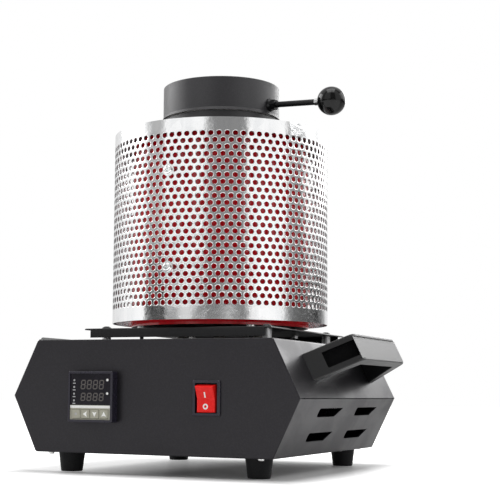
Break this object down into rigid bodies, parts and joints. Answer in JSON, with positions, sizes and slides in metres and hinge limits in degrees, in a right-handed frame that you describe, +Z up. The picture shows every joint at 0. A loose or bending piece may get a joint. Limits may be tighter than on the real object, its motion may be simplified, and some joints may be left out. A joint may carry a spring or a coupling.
{
  "type": "electric melting furnace",
  "caption": "Tabletop electric crucible furnace: hexagonal sheet housing with controls, drum heater inside a perforated guard, lift-off lid with ball handle.",
  "frame": {"origin": "on the floor, under the middle of the whole outline", "axes": "+Z up, the control panel faces -Y, +X to the right as seen from the front"},
  "size_m": [0.3664, 0.31, 0.4013],
  "materials": {
    "housing_paint": "fine textured powder coat, charcoal",
    "black_paint": "satin black powder coat",
    "drum_red": "gloss red enamel",
    "galvanised": "bright zinc with faint spangle, perforated",
    "zinc": "zinc plated",
    "black_screw": "black oxide",
    "bright_metal": "polished",
    "handle_plastic": "fine grained black",
    "case_plastic": "satin black",
    "knob_plastic": "polished black",
    "foot_rubber": "matt black",
    "window": "dark tinted, clear",
    "fascia": "printed film",
    "key_rubber": "satin",
    "board": "green board with white digit blocks",
    "switch_red": "translucent red",
    "white_ceramic": "unglazed",
    "firebrick": "porous",
    "fibre": "pressed fibre",
    "coil_wire": "oxidised",
    "probe_steel": "stainless sheath",
    "pin_brass": "nickel-brass pins",
    "relay_plastic": "moulded block",
    "wire_sleeve": "silicone sleeve"
  },
  "bodies": {
    "housing": {"base_brick": "firebrick", "bottom_tray": "housing_paint", "collar_lining": "fibre", "controller_bezel": "case_plastic", "controller_boards": "board", "controller_case": "case_plastic", "display_window": "window", "dome_bolts": "black_screw", "drum_floor": "black_paint", "drum_lining": "fibre", "drum_shell": "drum_red", "drum_spacers": "zinc", "foot_front_left": "foot_rubber", "foot_front_right": "foot_rubber", "foot_rear_left": "foot_rubber", "foot_rear_right": "foot_rubber", "foot_screws": "zinc", "front_panel": "housing_paint", "guard": "galvanised", "guard_screws": "bright_metal", "guard_spacers": "zinc", "handle_left": "handle_plastic", "handle_right": "handle_plastic", "handle_screws": "zinc", "heater_leads": "coil_wire", "heating_element": "coil_wire", "inlet_pins": "pin_brass", "key_fascia": "fascia", "lead_bushings": "white_ceramic", "mains_inlet": "case_plastic", "mouth_collar": "housing_paint", "muffle": "white_ceramic", "nuts_m4": "zinc", "nuts_m5": "zinc", "panel_screws": "zinc", "plate_standoffs": "zinc", "rear_panel": "housing_paint", "ring_screws": "black_screw", "seam_straps": "black_paint", "solid_state_relay": "relay_plastic", "support_plate": "black_paint", "switch_body": "case_plastic", "terminal_block": "white_ceramic", "thermocouple": "probe_steel", "top_cover": "housing_paint", "top_ring": "black_paint", "tray_screws": "zinc", "wiring": "wire_sleeve"},
    "lid": {"lid_can": "housing_paint", "lid_lining": "fibre", "lid_handle_nuts": "black_screw", "lid_handle_washer": "black_screw", "lid_rod": "black_paint", "knob_ferrule": "bright_metal", "ball_knob": "knob_plastic"},
    "rocker": {"rocker_button": "switch_red"},
    "set_key": {"key_set": "key_rubber"},
    "shift_key": {"key_shift": "key_rubber"},
    "down_key": {"key_down": "key_rubber"},
    "up_key": {"key_up": "key_rubber"}
  },
  "joints": [
    {"name": "lid_lift", "type": "slide", "parent": "housing", "child": "lid", "axis": [0, 0, 1], "range_m": [0, 0.3]},
    {"name": "switch_rock", "type": "hinge", "parent": "housing", "child": "rocker", "pos_m": [0.0589, -0.144, 0.0724], "axis": [1, 0, 0], "range_deg": [-24, 0]},
    {"name": "set_press", "type": "slide", "parent": "housing", "child": "set_key", "axis": [0, 1, 0], "range_m": [0, 0.0008], "stiffness_N_per_m": 300},
    {"name": "shift_press", "type": "slide", "parent": "housing", "child": "shift_key", "axis": [0, 1, 0], "range_m": [0, 0.0008], "stiffness_N_per_m": 300},
    {"name": "down_press", "type": "slide", "parent": "housing", "child": "down_key", "axis": [0, 1, 0], "range_m": [0, 0.0008], "stiffness_N_per_m": 300},
    {"name": "up_press", "type": "slide", "parent": "housing", "child": "up_key", "axis": [0, 1, 0], "range_m": [0, 0.0008], "stiffness_N_per_m": 300}
  ]
}
